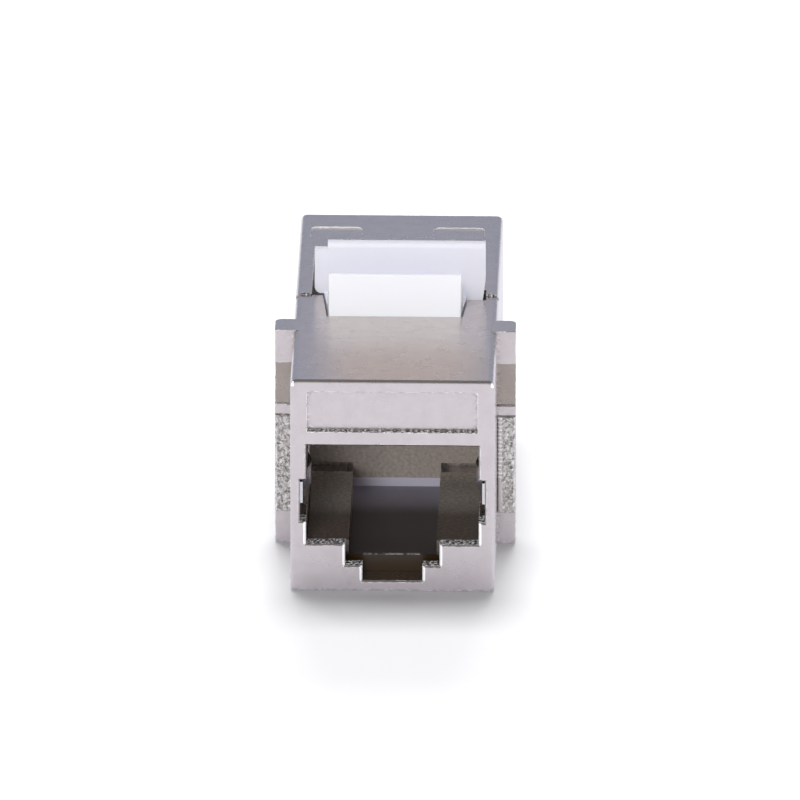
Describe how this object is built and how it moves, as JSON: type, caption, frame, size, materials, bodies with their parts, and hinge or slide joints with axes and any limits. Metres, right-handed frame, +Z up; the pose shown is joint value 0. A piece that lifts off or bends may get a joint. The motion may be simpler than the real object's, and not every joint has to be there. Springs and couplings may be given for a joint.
{
  "type": "ethernet keystone coupler",
  "caption": "Shielded in-line keystone coupler: a die-cast shell with a network socket at each end and a sprung snap-in latch on top.",
  "frame": {"origin": "middle of the underside, on the surface that the coupler rests on", "axes": "+X to the right seen from the front socket, +Y from the front socket to the rear socket, +Z up to the latch"},
  "size_m": [0.0172, 0.0314, 0.0205],
  "materials": {
    "nickel_plated_zinc": "satin nickel plate on a die casting",
    "white_moulding": "smooth white moulding",
    "black_moulding": "black moulding, polished in the channel",
    "contact_carrier": "dark moulding",
    "gold_plated_wire": "gold plated spring wire",
    "spring_steel": "bright spring strip",
    "circuit_board": "solder-masked laminate"
  },
  "bodies": {
    "shell": {"front_housing": "nickel_plated_zinc", "rear_housing": "nickel_plated_zinc", "front_guide": "black_moulding", "rear_guide": "black_moulding", "front_carrier": "contact_carrier", "rear_carrier": "contact_carrier", "circuit_board": "circuit_board", "front_left_spring": "spring_steel", "front_right_spring": "spring_steel", "rear_left_spring": "spring_steel", "rear_right_spring": "spring_steel", "front_contact_1": "gold_plated_wire", "front_contact_2": "gold_plated_wire", "front_contact_3": "gold_plated_wire", "front_contact_4": "gold_plated_wire", "front_contact_5": "gold_plated_wire", "front_contact_6": "gold_plated_wire", "front_contact_7": "gold_plated_wire", "front_contact_8": "gold_plated_wire", "rear_contact_1": "gold_plated_wire", "rear_contact_2": "gold_plated_wire", "rear_contact_3": "gold_plated_wire", "rear_contact_4": "gold_plated_wire", "rear_contact_5": "gold_plated_wire", "rear_contact_6": "gold_plated_wire", "rear_contact_7": "gold_plated_wire", "rear_contact_8": "gold_plated_wire"},
    "latch": {"keystone_latch": "white_moulding"}
  },
  "joints": [
    {"name": "latch_press", "type": "hinge", "parent": "shell", "child": "latch", "pos_m": [0, 0.0091, 0.01475], "axis": [1, 0, 0], "range_deg": [0, 5.5], "stiffness_Nm_per_rad": 0.5}
  ]
}
